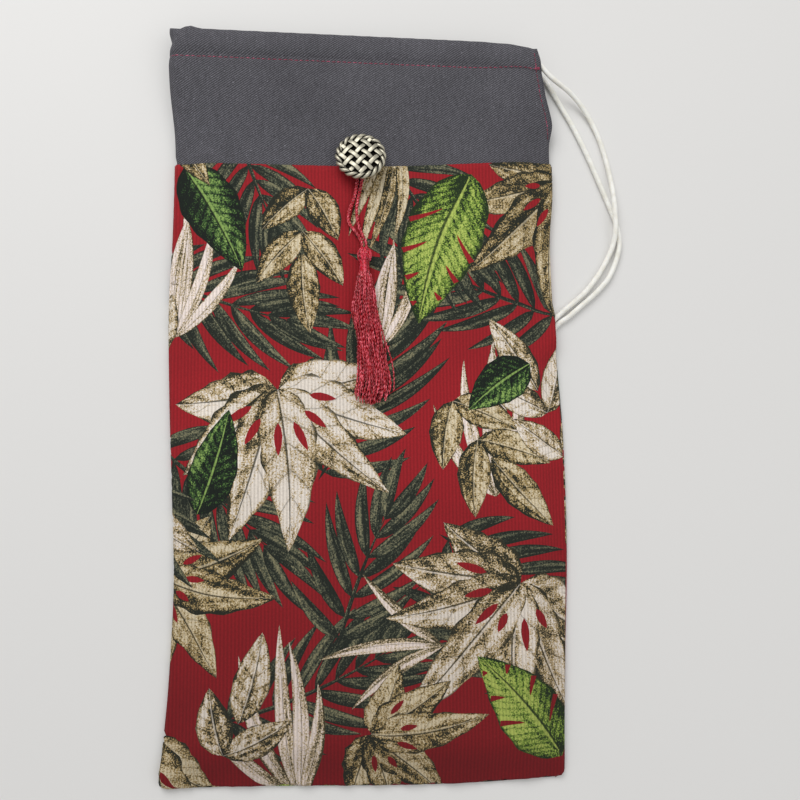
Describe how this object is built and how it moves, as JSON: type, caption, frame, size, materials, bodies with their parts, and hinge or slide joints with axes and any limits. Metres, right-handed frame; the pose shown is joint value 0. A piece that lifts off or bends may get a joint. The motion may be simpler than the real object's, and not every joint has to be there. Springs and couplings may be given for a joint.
{
  "type": "drawstring pouch",
  "caption": "Flat kinchaku pouch in patterned cotton with a plain grey mouth band, corded casing, woven metal button and red tassel, lying on its back.",
  "frame": {"origin": "middle of the footprint on the surface the pouch lies on", "axes": "+X across the pouch to the side with the cord slit, +Y along it to the mouth, +Z out of its front"},
  "size_m": [0.2122, 0.336, 0.0174],
  "materials": {
    "printed_cotton": "matte patterned cotton",
    "grey_twill": "matte twill",
    "white_cord": "braided",
    "antique_silver": "worn satin with dark recesses",
    "red_thread": "silky twisted thread"
  },
  "bodies": {
    "pouch": {"print_cloth": "printed_cotton", "top_band": "grey_twill", "button": "antique_silver", "drawstring": "white_cord", "drawstring_knot": "white_cord"},
    "tassel": {"tassel_loop": "red_thread", "tassel_head": "red_thread", "tassel_binding": "red_thread", "tassel_skirt": "red_thread"}
  },
  "joints": [
    {"name": "tassel_swing", "type": "hinge", "parent": "pouch", "child": "tassel", "pos_m": [-0.0026, 0.109, 0.0087], "axis": [0, 0, 1], "range_deg": [-40, 40]}
  ]
}
